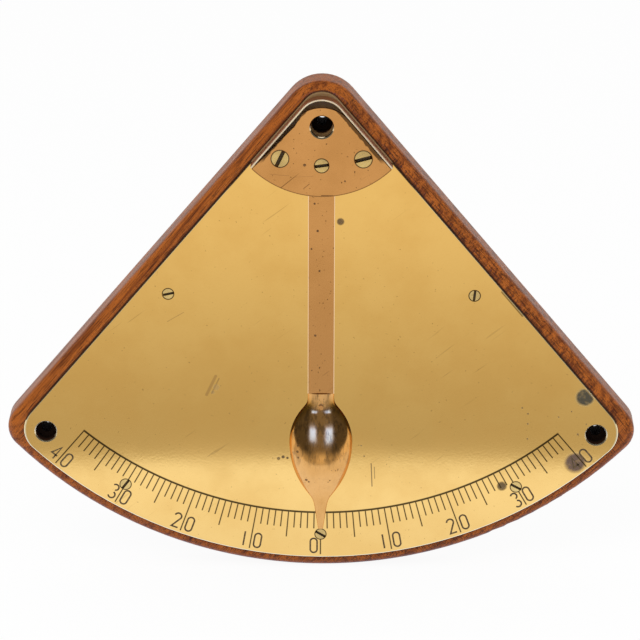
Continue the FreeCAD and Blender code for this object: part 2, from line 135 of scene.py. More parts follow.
class Wiring:
    """A node tree, with one short method for each kind of node."""

    TO_NUMBER = ("LENGTH", "DISTANCE", "DOT_PRODUCT")

    def __init__(self, tree: bpy.types.NodeTree) -> None:
        """Takes the node tree that the nodes go into."""
        self.tree = tree

    def plug(self, value: object, socket: object) -> None:
        """Links a socket, or writes a constant to it.

        Args:
            value: A socket, a number, a colour or a vector.
            socket: The input that takes it.
        """
        if isinstance(value, bpy.types.NodeSocket):
            self.tree.links.new(value, socket)
        elif isinstance(value, tuple) and socket.type == "RGBA":
            socket.default_value = (*value, 1.0)
        else:
            socket.default_value = value

    def vector(self, operation: str, first: object, second: object = None,
               factor: float = 1.0) -> object:
        """A vector operation.

        Args:
            operation: Its name.
            first: The first vector.
            second: The second vector, where it has one.
            factor: The scale of SCALE.

        Returns:
            The socket of its vector, or of its number where it gives one.
        """
        node = self.tree.nodes.new("ShaderNodeVectorMath")
        node.operation = operation
        self.plug(first, node.inputs[0])
        if second is not None:
            self.plug(second, node.inputs[1])
        if operation == "SCALE":
            node.inputs["Scale"].default_value = factor
        return node.outputs["Value" if operation in self.TO_NUMBER else "Vector"]

    def math(self, operation: str, first: object, second: object = 0.0) -> object:
        """A number made from two others.

        Args:
            operation: The operation's name.
            first: The first number or socket.
            second: The second number or socket.

        Returns:
            The result's socket.
        """
        node = self.tree.nodes.new("ShaderNodeMath")
        node.operation = operation
        self.plug(first, node.inputs[0])
        self.plug(second, node.inputs[1])
        return node.outputs[0]

    def plus(self, first: object, second: object) -> object:
        """The sum of two numbers."""
        return self.math("ADD", first, second)

    def minus(self, first: object, second: object) -> object:
        """The first number less the second."""
        return self.math("SUBTRACT", first, second)

    def times(self, first: object, second: object) -> object:
        """The product of two numbers."""
        return self.math("MULTIPLY", first, second)

    def most(self, first: object, second: object) -> object:
        """The larger of two numbers."""
        return self.math("MAXIMUM", first, second)

    def rest(self, share: object) -> object:
        """What a share leaves of 1."""
        return self.minus(1.0, share)

    def ease(self, value: object, start: float, end: float, low: float = 0.0,
             high: float = 1.0) -> object:
        """A soft step between two values.

        Args:
            value: The number that is stepped.
            start: Where the step starts.
            end: Where it ends, above the start.
            low: The result before the start.
            high: The result after the end.

        Returns:
            The result's socket.
        """
        node = self.tree.nodes.new("ShaderNodeMapRange")
        node.interpolation_type = "SMOOTHSTEP"
        self.plug(value, node.inputs["Value"])
        numbers = (start, end, low, high)
        for name, number in zip(("From Min", "From Max", "To Min", "To Max"), numbers):
            node.inputs[name].default_value = number
        return node.outputs["Result"]

    def blend(self, share: object, first: object, second: object) -> object:
        """One colour over another.

        Args:
            share: How much of the second colour shows.
            first: The colour below.
            second: The colour above.

        Returns:
            The result's socket.
        """
        node = self.tree.nodes.new("ShaderNodeMix")
        node.data_type = "RGBA"
        self.plug(share, node.inputs[0])
        self.plug(first, node.inputs[6])
        self.plug(second, node.inputs[7])
        return node.outputs[2]


class Sheet(Wiring):
    """A material's nodes, laid out in millimetres of the part's frame."""

    def __init__(self, name: str) -> None:
        """Starts an empty material.

        Args:
            name: The material's name.
        """
        self.material = bpy.data.materials.new(name)
        self.material.use_nodes = True
        super().__init__(self.material.node_tree)
        self.shader = self.tree.nodes["Principled BSDF"]
        coords = self.tree.nodes.new("ShaderNodeTexCoord").outputs["Object"]
        self.mm = self.vector("SCALE", coords, factor=1.0 / MM)
        self.flat = self.vector("MULTIPLY", self.mm, (1.0, 0.0, 1.0))
        split = self.tree.nodes.new("ShaderNodeSeparateXYZ")
        self.tree.links.new(self.mm, split.inputs[0])
        self.x, self.y, self.z = split.outputs

    def noise(self, grain: Grain) -> object:
        """The noise of a pattern, before its step.

        Args:
            grain: The pattern.

        Returns:
            The noise's socket, from 0 to 1.
        """
        mapping = self.tree.nodes.new("ShaderNodeMapping")
        mapping.inputs["Rotation"].default_value = (0.0, math.radians(grain.turn), 0.0)
        self.plug(self.mm, mapping.inputs["Vector"])
        squeeze = self.vector("MULTIPLY", mapping.outputs["Vector"], grain.stretch)
        node = self.tree.nodes.new("ShaderNodeTexNoise")
        node.inputs["Scale"].default_value = grain.scale
        node.inputs["Detail"].default_value = grain.detail
        node.inputs["Roughness"].default_value = grain.rough
        self.plug(squeeze, node.inputs["Vector"])
        return node.outputs["Fac"]

    def marks(self, grain: Grain, noise: object = None) -> object:
        """The marks of a pattern.

        Args:
            grain: The pattern.
            noise: Its noise, where it is made already.

        Returns:
            A socket from the pattern's low to its high.
        """
        value = self.noise(grain) if noise is None else noise
        return self.ease(value, grain.start, grain.end, grain.low, grain.high)

    def gap(self, place: Place) -> object:
        """Distance from a place on the dial's plane, in millimetres."""
        return self.vector("DISTANCE", self.flat, (place[0], 0.0, place[1]))

    def spot(self, place: Place, radius: float, soft: float) -> object:
        """A round mark on the dial's plane.

        Args:
            place: Its centre, in millimetres.
            radius: Its radius, in millimetres.
            soft: Width of its edge as a share of the radius.

        Returns:
            A socket that is 1 inside the mark and 0 outside.
        """
        return self.ease(self.gap(place), radius * (1.0 - soft), radius * (1.0 + soft), 1.0, 0.0)

    def stroke(self, start: Place, end: Place, half_width: float, soft: float = 0.4) -> object:
        """A straight mark on the dial's plane.

        Args:
            start: One end, in millimetres.
            end: The other end.
            half_width: Half its width.
            soft: Width of its edge as a share of the half width.

        Returns:
            A socket that is 1 on the mark and 0 off it.
        """
        run = math.dist(start, end)
        way = ((end[0] - start[0]) / run, 0.0, (end[1] - start[1]) / run)
        off = self.vector("SUBTRACT", self.flat, (start[0], 0.0, start[1]))
        along = self.vector("DOT_PRODUCT", off, way)
        held = self.math("MINIMUM", self.most(along, 0.0), run)
        reach = self.math("POWER", self.vector("LENGTH", off), 2.0)
        twice = self.times(self.times(held, along), 2.0)
        square = self.minus(self.plus(reach, self.times(held, held)), twice)
        gap = self.math("POWER", self.most(square, 0.0), 0.5)
        return self.ease(gap, half_width * (1.0 - soft), half_width * (1.0 + soft), 1.0, 0.0)

    def plate_edge(self, offset: float = PLATE_OFFSET, nose_radius: float = PLATE_NOSE) -> object:
        """Distance from an outline that runs parallel to the dial plate's sides.

        Args:
            offset: The pivot's distance to each straight side, in millimetres.
            nose_radius: Radius of the nose.

        Returns:
            A socket with the distance outside it in millimetres, negative inside.
        """
        side = self.math("ABSOLUTE", self.x)
        along = self.plus(self.times(side, math.cos(HALF_ANGLE)),
                          self.times(self.z, math.sin(HALF_ANGLE)))
        past_side = self.minus(along, offset - PLATE_CORNER)
        past_arc = self.minus(self.vector("LENGTH", self.flat), PLATE_RADIUS - PLATE_CORNER)
        near = self.math("MINIMUM", self.most(past_side, past_arc), 0.0)
        squares = self.plus(self.math("POWER", self.most(past_side, 0.0), 2.0),
                            self.math("POWER", self.most(past_arc, 0.0), 2.0))
        body = self.minus(self.plus(self.math("POWER", squares, 0.5), near), PLATE_CORNER)
        nose_z = (offset - nose_radius) / math.sin(HALF_ANGLE)
        nose = self.minus(self.gap((0.0, nose_z)), nose_radius)
        above = self.times(self.minus(self.z, nose_z), 1.0 / math.tan(HALF_ANGLE))
        at_nose = self.math("LESS_THAN", side, above)
        return self.plus(self.times(nose, at_nose), self.times(body, self.rest(at_nose)))

    def bump(self, height: object, depth: float, strength: float = 1.0) -> None:
        """Raises the surface.

        Args:
            height: A socket from 0 to 1.
            depth: Metres between 0 and 1.
            strength: Share of the effect.
        """
        node = self.tree.nodes.new("ShaderNodeBump")
        node.inputs["Distance"].default_value = depth
        node.inputs["Strength"].default_value = strength
        self.plug(height, node.inputs["Height"])
        self.plug(node.outputs["Normal"], self.shader.inputs["Normal"])

    def dress(self, **sockets: object) -> bpy.types.Material:
        """Writes the shader's sockets.

        Args:
            sockets: Values by socket name, with underscores for spaces.

        Returns:
            The material.
        """
        for name, value in sockets.items():
            self.plug(value, self.shader.inputs[name.replace("_", " ")])
        return self.material


@dataclass(frozen=True)
class Stain:
    """A round tarnish mark on one of the metals."""

    place: Place
    radius: float
    tarnish: Tarnish
    strength: float = 0.8


def spots_of(tarnish: Tarnish, *marks: tuple[float, float, float],
             strength: float = 0.8) -> tuple[Stain, ...]:
    """Stains of one colour.

    Args:
        tarnish: Their colour.
        marks: The x, z and radius of each, in millimetres.
        strength: How much of the metal they hide.

    Returns:
        The stains.
    """
    return tuple(Stain((x, z), radius, tarnish, strength) for x, z, radius in marks)


@dataclass(frozen=True)
class Scratch:
    """A straight mark on the dial, the cover or the arm: mostly scratches; the arm's two painted
    highlight lines and the cover's painted shadow line are made the same way.
    """

    start: Place
    end: Place
    half_width: float
    colour: Colour
    strength: float = 0.8


@dataclass(frozen=True)
class Varnish:
    """Varnished reddish hardwood with the grain running along the board's left side, painted shade
    inside its fixing holes and a painted shadow line along the foot of the dial plate.
    """

    light: Colour = (0.37, 0.100, 0.014)
    dark: Colour = (0.130, 0.029, 0.006)
    # Colour of the wood's pores and cross figure, also used for the painted shadow along the dial
    # plate's foot.
    pore_and_shadow: Colour = (0.030, 0.009, 0.004)
    # Colour of the painted shade inside the fixing holes.
    hole_shade: Colour = (0.010, 0.006, 0.004)
    figure: Grain = Grain(0.30, 0.36, 0.58, low=0.10, detail=4.0, stretch=(0.05, 1.0, 1.0),
                          turn=GRAIN_TURN, rough=0.65)
    streak: Grain = Grain(1.3, 0.45, 0.62, high=0.45, stretch=(0.03, 1.0, 1.0), turn=GRAIN_TURN)
    pores: Grain = Grain(2.6, 0.50, 0.66, high=0.75, detail=2.0, stretch=(0.04, 1.0, 1.0),
                         turn=GRAIN_TURN)
    cross: Grain = Grain(2.2, 0.48, 0.64, high=0.7, detail=2.0, stretch=(0.08, 1.0, 1.0),
                         turn=-GRAIN_TURN)
    cross_from: Span = (-10.0, 30.0)
    cross_on_left: float = 0.35
    # Painted shadow line on the wood along the dial plate's foot: its distance out from the plate's
    # edge, and its strength.
    plate_foot_shadow: Span = (0.2, 1.1)
    plate_foot_shadow_share: float = 0.9
    holes: tuple[Place, ...] = ((-132.8, -136.8), (132.8, -136.8), (0.0, 18.8))
    hole_radius: float = 5.6
    hole_soft: float = 0.02
    # Depths over which the painted shade comes in inside the holes, and how strong it gets.
    painted_shade: Span = (-17.9, -14.5)
    painted_shade_share: Span = (0.6, 0.94)
    relief: float = 0.00012
    relief_share: float = 0.8
    streak_relief: float = 0.6
    streak_rough: Span = (0.3, 0.7)
    roughness: Span = (0.32, 0.48)
    gloss: float = 0.09
    gloss_roughness: float = 0.14
    sheen: float = 0.10

    def material(self) -> bpy.types.Material:
        """Builds the wood's material.

        Returns:
            The material.
        """
        sheet = Sheet("board_varnished_wood")
        streak, pores = sheet.noise(self.streak), sheet.noise(self.pores)
        colour = sheet.blend(sheet.marks(self.figure), self.dark, self.light)
        colour = sheet.blend(sheet.marks(self.streak, streak), colour, self.light)
        colour = sheet.blend(sheet.marks(self.pores, pores), colour, self.pore_and_shadow)
        hatch = sheet.times(sheet.marks(self.cross),
                            sheet.ease(sheet.x, *self.cross_from, self.cross_on_left, 1.0))
        colour = sheet.blend(hatch, colour, self.pore_and_shadow)
        # Painted shadow on the wood just outside the dial plate's edge.
        plate_foot_shadow = sheet.ease(sheet.plate_edge(), *self.plate_foot_shadow, self.plate_foot_shadow_share, 0.0)
        colour = sheet.blend(plate_foot_shadow, colour, self.pore_and_shadow)
        # Painted shade inside the three fixing holes, darker deeper in; there the wood is also made
        # matt and loses its gloss.
        ream = 0.0
        for place in self.holes:
            ream = sheet.most(ream, sheet.spot(place, self.hole_radius, self.hole_soft))
        painted_shade = sheet.ease(sheet.y, *self.painted_shade, *self.painted_shade_share)
        colour = sheet.blend(sheet.times(ream, painted_shade), colour, self.hole_shade)
        grain = sheet.plus(sheet.times(streak, self.streak_relief), pores)
        sheet.bump(grain, self.relief, self.relief_share)
        rough = sheet.most(sheet.ease(streak, *self.streak_rough, *self.roughness), ream)
        return sheet.dress(Base_Color=colour, Roughness=rough,
                           Coat_Weight=sheet.times(sheet.rest(ream), self.gloss),
                           Coat_Roughness=self.gloss_roughness, Specular_IOR_Level=self.sheen)


@dataclass(frozen=True)
class RubbedMetal:
    """Copper alloy with rubbing, specks and scratches."""

    name: str
    base: Colour
    shade: Colour
    roughness: float = 0.2
    roughness_shares: Span = (0.8, 1.3)
    cloud: Grain = Grain(0.03, 0.35, 0.68, detail=4.0, rough=0.6)
    cloud_rough: Span = (0.3, 0.7)
    fine: Grain = Grain(0.9, 0.45, 0.75, high=0.18)
    specks: Grain = SPECKS
    hairlines: Grain = Grain(0.5, 0.70, 0.76, detail=1.0, stretch=(0.07, 1.0, 1.6), turn=38.0)
    worn: Grain = WORN
    mottle: Grain = Grain(0.45, 0.30, 0.50, low=0.82)
    dirt: Colour = (0.22, 0.20, 0.20)
    slot_below: float | None = None
    slot_depth: float = 0.12
    slot_rough: float = 0.6
    slot: Colour = (0.12, 0.072, 0.026)
    rings: tuple[tuple[Place, float], ...] = ()
    ring: Colour = (0.06, 0.032, 0.012)
    ring_width: float = 0.24
    ring_soft: float = 0.04
    ring_share: float = 0.95
    stains: tuple[Stain, ...] = ()
    stain_soft: float = 0.25
    stain_rough: float = 0.35
    # Straight marks: scratches, and on the arm and the cover also painted highlight and shadow
    # lines.
    scratches: tuple[Scratch, ...] = ()
    relief: float = 0.000004

    def sheet(self) -> tuple[Sheet, object, object]:
        """Starts the metal.

        Returns:
            Its node sheet, its colour and its roughness.
        """
        sheet = Sheet(self.name)
        cloud, fine = sheet.noise(self.cloud), sheet.noise(self.fine)
        colour = sheet.blend(sheet.marks(self.cloud, cloud), self.base, self.shade)
        colour = sheet.blend(sheet.marks(self.fine, fine), colour, self.shade)
        dark = tuple(part * share for part, share in zip(self.shade, self.dirt))
        colour = sheet.blend(sheet.marks(self.specks), colour, dark)
        lines = sheet.times(sheet.marks(self.hairlines), sheet.marks(self.worn))
        colour = sheet.blend(lines, colour, dark)
        rough = sheet.ease(cloud, *self.cloud_rough,
                           *(self.roughness * share for share in self.roughness_shares))
        if self.slot_below is not None:
            deep = sheet.ease(sheet.y, self.slot_below, self.slot_below + self.slot_depth)
            colour = sheet.blend(deep, colour, self.slot)
            rough = sheet.most(rough, sheet.times(deep, self.slot_rough))
        colour, rough = self.age(sheet, colour, rough)
        sheet.bump(fine, self.relief)
        return sheet, colour, rough

    def age(self, sheet: Sheet, colour: object, rough: object) -> tuple[object, object]:
        """Adds the dark rings round screw heads, the stains and the straight marks, which are
        scratches and, on the arm and the cover, painted highlight and shadow lines.

        Args:
            sheet: The metal's node sheet.
            colour: The metal's colour.
            rough: The metal's roughness.

        Returns:
            The new colour and roughness.
        """
        for place, radius in self.rings:
            seat = sheet.minus(sheet.spot(place, radius + self.ring_width, self.ring_soft),
                               sheet.spot(place, radius - self.ring_width, self.ring_soft))
            colour = sheet.blend(sheet.times(seat, self.ring_share), colour, self.ring)
        mottle = sheet.marks(self.mottle) if self.stains else 1.0
        for stain in self.stains:
            patch = sheet.times(sheet.spot(stain.place, stain.radius, self.stain_soft),
                                sheet.times(mottle, stain.strength))
            colour = sheet.blend(patch, colour, stain.tarnish.value)
            rough = sheet.plus(rough, sheet.times(patch, self.stain_rough))
        for scratch in self.scratches:
            mark = sheet.stroke(scratch.start, scratch.end, scratch.half_width)
            colour = sheet.blend(sheet.times(mark, scratch.strength), colour, scratch.colour)
        return colour, rough

    def material(self) -> bpy.types.Material:
        """Builds the metal's material."""
        sheet, colour, rough = self.sheet()
        return sheet.dress(Base_Color=colour, Roughness=rough, Metallic=1.0)


@dataclass(frozen=True)
class CoverBronze(RubbedMetal):
    """The front cover's bronze: painted shade along its lower edge, a painted gap shadow along its
    sides and nose, and painted light and shade on the wall of its hole.
    """

    hole: Place = (0.0, 18.8)
    hole_radius: float = 5.8
    hole_soft: float = 0.015
    # The hole's wall goes from painted highlight below to painted shade above across these heights
    # from its centre; the dark line colour is also the painted shade along the lower edge.
    crescent: Span = (-2.5, 1.5)
    painted_highlight: Colour = (1.0, 0.80, 0.48)
    line: Colour = (0.24, 0.11, 0.035)
    line_width: float = 0.45
    line_soft: float = 0.12
    line_share: float = 0.8
    # Colour of the painted shadow of the gap between the cover and the rim.
    painted_shade: Colour = (0.105, 0.050, 0.018)
    margin: float = 2.35
    margin_soft: float = 0.2
    margin_from: Span = (0.5, 4.0)
    margin_share: float = 0.92
    ragged: Grain = Grain(0.35)
    ragged_width: float = 1.6

    def material(self) -> bpy.types.Material:
        """Builds the cover's material.

        Returns:
            The material.
        """
        sheet, colour, rough = self.sheet()
        # Painted shade line along the cover's lower edge.
        start = COVER_LOWER_RADIUS - self.line_width
        edge = sheet.ease(sheet.gap(COVER_CENTRE), start - self.line_soft, start + self.line_soft,
                          0.0, self.line_share)
        colour = sheet.blend(edge, colour, self.line)
        # Painted shadow of the gap to the rim: a ragged band along the cover's sides and round its
        # nose, fading out towards the lower corners.
        ragged = sheet.times(sheet.minus(sheet.noise(self.ragged), 0.5), self.ragged_width)
        wall = sheet.plus(sheet.plate_edge(RIM_OFFSET, RIM_NOSE), ragged)
        side = sheet.times(sheet.ease(wall, -self.margin - self.margin_soft,
                                      -self.margin + self.margin_soft),
                           sheet.ease(sheet.z, *self.margin_from, 0.0, self.margin_share))
        colour = sheet.blend(side, colour, self.painted_shade)
        # Painted highlight on the lower wall of the hole, painted shade on its upper wall.
        below = sheet.ease(sheet.z, *(self.hole[1] + height for height in self.crescent), 1.0, 0.0)
        colour = sheet.blend(sheet.spot(self.hole, self.hole_radius, self.hole_soft), colour,
                             sheet.blend(below, self.line, self.painted_highlight))
        return sheet.dress(Base_Color=colour, Roughness=rough, Metallic=1.0)


@dataclass(frozen=True)
class RimBrass(RubbedMetal):
    """The bent strip's brass with painted light and shade: its walls take darker colours than its
    front edge, with painted shade on the wall facing the cavity, which is also dull, so the front
    edge reads as a light line.
    """

    # Colours of the painted shade on the wall facing the cavity and on the wall facing out.
    inner_wall_shade: Colour = (0.26, 0.145, 0.060)
    outer_wall_shade: Colour = (0.62, 0.36, 0.20)
    edge_depth: Span = (0.02, 0.10)
    wall_soft: float = 0.1
    wall_rough: float = 0.4
    dullness: float = 0.85

    def material(self) -> bpy.types.Material:
        """Builds the rim's material.

        Returns:
            The material.
        """
        sheet, colour, rough = self.sheet()
        # Painted light and shade: behind the front edge both walls take the darker colours and get
        # rougher, and the wall facing the cavity is also dull.
        behind = sheet.ease(sheet.y, *(RIM_FRONT + depth for depth in self.edge_depth))
        inside = sheet.ease(sheet.plate_edge(RIM_OFFSET, RIM_NOSE), -self.wall_soft,
                            self.wall_soft, 1.0, 0.0)
        colour = sheet.blend(behind, colour, sheet.blend(inside, self.outer_wall_shade, self.inner_wall_shade))
        rough = sheet.most(rough, sheet.times(behind, self.wall_rough))
        dull = sheet.times(sheet.times(inside, behind), self.dullness)
        return sheet.dress(Base_Color=colour, Roughness=rough, Metallic=sheet.rest(dull))


@dataclass(frozen=True)
class BobBronze(RubbedMetal):
    """The bob's mirror bronze: a deeper orange painted towards its rim as a reflection of the dial,
    streaked on its upper half.
    """

    # Colour of the painted reflection of the dial's brass on the leaf's steep flanks.
    deep: Colour = (0.56, 0.26, 0.040)
    dull: Colour = (0.25, 0.13, 0.045)
    rim: Span = (-23.6, -22.0)
    leaf_foot: Span = (-164.0, -156.0)
    leaf_head: Span = (-122.0, -116.0)
    streaks: Grain = Grain(0.45, 0.46, 0.62, detail=4.0, stretch=(1.0, 1.0, 0.3), rough=0.65)
    crest: Span = (-154.0, -146.0)
    streak_shares: Span = (0.08, 0.60)
    shoulder: Span = (-127.0, -121.0)
    shoulder_rough: float = 0.30

    def material(self) -> bpy.types.Material:
        """Builds the bob's material.

        Returns:
            The material.
        """
        sheet, colour, rough = self.sheet()
        # Painted reflection: deeper orange on the leaf's flanks towards its flat back.
        leaf = sheet.times(sheet.ease(sheet.z, *self.leaf_foot),
                           sheet.ease(sheet.z, *self.leaf_head, 1.0, 0.0))
        colour = sheet.blend(sheet.times(sheet.ease(sheet.y, *self.rim), leaf), colour, self.deep)
        upper = sheet.ease(sheet.z, *self.crest, *self.streak_shares)
        colour = sheet.blend(sheet.times(sheet.marks(self.streaks), upper), colour, self.dull)
        shoulder = sheet.ease(sheet.z, *self.shoulder, 0.0, self.shoulder_rough)
        return sheet.dress(Base_Color=colour, Roughness=sheet.most(rough, shoulder), Metallic=1.0)


@dataclass(frozen=True)
class DialBrass(RubbedMetal):
    """The dial's brass: dark engraving, tarnish by the rim, painted shade behind the cover, and
    painted highlights along its outside edge and at its holes.
    """

    fill: Colour = (0.085, 0.050, 0.014)
    fill_depth: Span = (0.04, 0.12)
    fill_from: Span = (SCALE_RADIUS - 1.6, SCALE_RADIUS - 1.5)
    fill_to: Span = (-1.3, -1.2)
    line_ends: tuple[tuple[float, float], ...] = ((1.0, 186.3), (5.0, 191.3), (10.0, 199.8))
    line_end_soft: float = 0.1
    line_edge: Span = (0.21, 0.46)
    arc_edge: Span = (0.36, 0.71)
    arc_soft: float = 0.2
    last_line: Span = (SCALE_SPAN + 0.1, SCALE_SPAN + 0.2)
    line_shade: float = 0.6
    border: Span = (-1.4, -0.5)
    border_share: float = 0.55
    # Colour of the painted highlight along the plate's outside edge.
    edge: Colour = (1.0, 0.84, 0.50)
    highlight_from: Span = (-0.45, -0.35)
    highlight_share: float = 0.9
    # Colour of the painted shade on the dial behind the cover, and also of the tarnish on the strip
    # beside the rim's foot.
    tarnish: Colour = (0.22, 0.120, 0.045)
    shade_and_tarnish_share: float = 0.94
    shade_and_tarnish_rough: float = 0.5
    shade_under_cover: Span = (COVER_LOWER_RADIUS - 2.0, COVER_LOWER_RADIUS)
    beside_rim: Span = (-0.55, -0.35)
    rim_foot: Span = (-16.0, -10.0)
    dullness: float = 0.85
    # Colour of the painted highlight on the chamfer and wall of the two lower fixing holes.
    painted_highlight: Colour = (1.0, 0.86, 0.56)
    holes: tuple[Place, ...] = ((-132.77, -136.75), (132.77, -136.75))
    hole_radius: float = 5.5
    hole_soft: float = 0.015
    hole_rough: float = 0.3

    def engraving(self, sheet: Sheet, reach: object) -> object:
        """The dark burr beside the cut lines of the scale.

        Args:
            sheet: The material's node sheet.
            reach: Distance from the pivot, in millimetres.

        Returns:
            A socket that is above 0 along the lines.
        """
        turn = sheet.math("ARCTAN2", sheet.x, sheet.times(sheet.z, -1.0))
        turn = sheet.times(turn, math.degrees(1.0))
        below = sheet.ease(reach, SCALE_RADIUS - self.arc_soft, SCALE_RADIUS + self.arc_soft)
        arc = sheet.math("ABSOLUTE", sheet.minus(reach, SCALE_RADIUS))
        lines = sheet.ease(arc, *self.arc_edge, 1.0, 0.0)
        for pitch, end in self.line_ends:
            share = sheet.math("DIVIDE", turn, pitch)
            off = sheet.math("ABSOLUTE", sheet.minus(share, sheet.math("ROUND", share)))
            off = sheet.times(sheet.times(off, pitch), math.radians(1.0) * SCALE_RADIUS)
            short = sheet.ease(reach, end - self.line_end_soft, end + self.line_end_soft, 1.0, 0.0)
            near = sheet.times(sheet.ease(off, *self.line_edge, 1.0, 0.0), short)
            lines = sheet.most(lines, sheet.times(near, below))
        within = sheet.ease(sheet.math("ABSOLUTE", turn), *self.last_line, self.line_shade, 0.0)
        return sheet.times(lines, within)

    def material(self) -> bpy.types.Material:
        """Builds the dial's material.

        Returns:
            The material.
        """
        sheet, colour, rough = self.sheet()
        edge = sheet.plate_edge()
        border = sheet.ease(edge, *self.border, 0.0, self.border_share)
        colour = sheet.blend(border, colour, self.shade)
        # Painted highlight along the plate's outside edge and side.
        colour = sheet.blend(sheet.ease(edge, *self.highlight_from, 0.0, self.highlight_share), colour,
                             self.edge)
        reach = sheet.vector("LENGTH", sheet.flat)
        scale = sheet.times(sheet.ease(reach, *self.fill_from),
                            sheet.ease(edge, *self.fill_to, 1.0, 0.0))
        deep = sheet.ease(sheet.y, *(DIAL_FACE + depth for depth in self.fill_depth))
        cut = sheet.most(sheet.times(deep, scale), self.engraving(sheet, reach))
        colour = sheet.blend(cut, colour, self.fill)
        # Painted shade on the dial behind the cover and inside the rim, which is also made less
        # metallic there; there and on the tarnished strip beside the rim's foot the brass is also
        # rougher.
        shade_under = sheet.ease(sheet.gap(COVER_CENTRE), *self.shade_under_cover, 1.0, 0.0)
        beside = sheet.times(sheet.ease(edge, *self.beside_rim),
                             sheet.ease(sheet.z, *self.rim_foot))
        dull = sheet.most(shade_under, beside)
        colour = sheet.blend(sheet.times(dull, self.shade_and_tarnish_share), colour, self.tarnish)
        rough = sheet.most(rough, sheet.times(dull, self.shade_and_tarnish_rough))
        # Painted highlight on the chamfer and wall of each lower fixing hole.
        for place in self.holes:
            ring = sheet.spot(place, self.hole_radius, self.hole_soft)
            colour = sheet.blend(ring, colour, self.painted_highlight)
            rough = sheet.most(rough, sheet.times(ring, self.hole_rough))
        metal = sheet.rest(sheet.times(shade_under, self.dullness))
        return sheet.dress(Base_Color=colour, Roughness=rough, Metallic=metal)


def only(piece: bpy.types.Object, new: bool = False) -> bpy.types.Object:
    """Makes one piece the only selected one.

    Args:
        piece: The piece.
        new: Whether it still has to be linked to the scene.

    Returns:
        The piece.
    """
    if new:
        bpy.context.collection.objects.link(piece)
    if bpy.context.mode != "OBJECT":
        bpy.ops.object.mode_set(mode="OBJECT")
    bpy.ops.object.select_all(action="DESELECT")
    piece.select_set(True)
    bpy.context.view_layer.objects.active = piece
    return piece


def paint(piece: bpy.types.Object, material: bpy.types.Material) -> None:
    """Puts one material on a whole piece.

    Args:
        piece: The piece.
        material: Its material.
    """
    if not piece.material_slots:
        piece.data.materials.append(material)
    for slot in piece.material_slots:
        slot.material = material


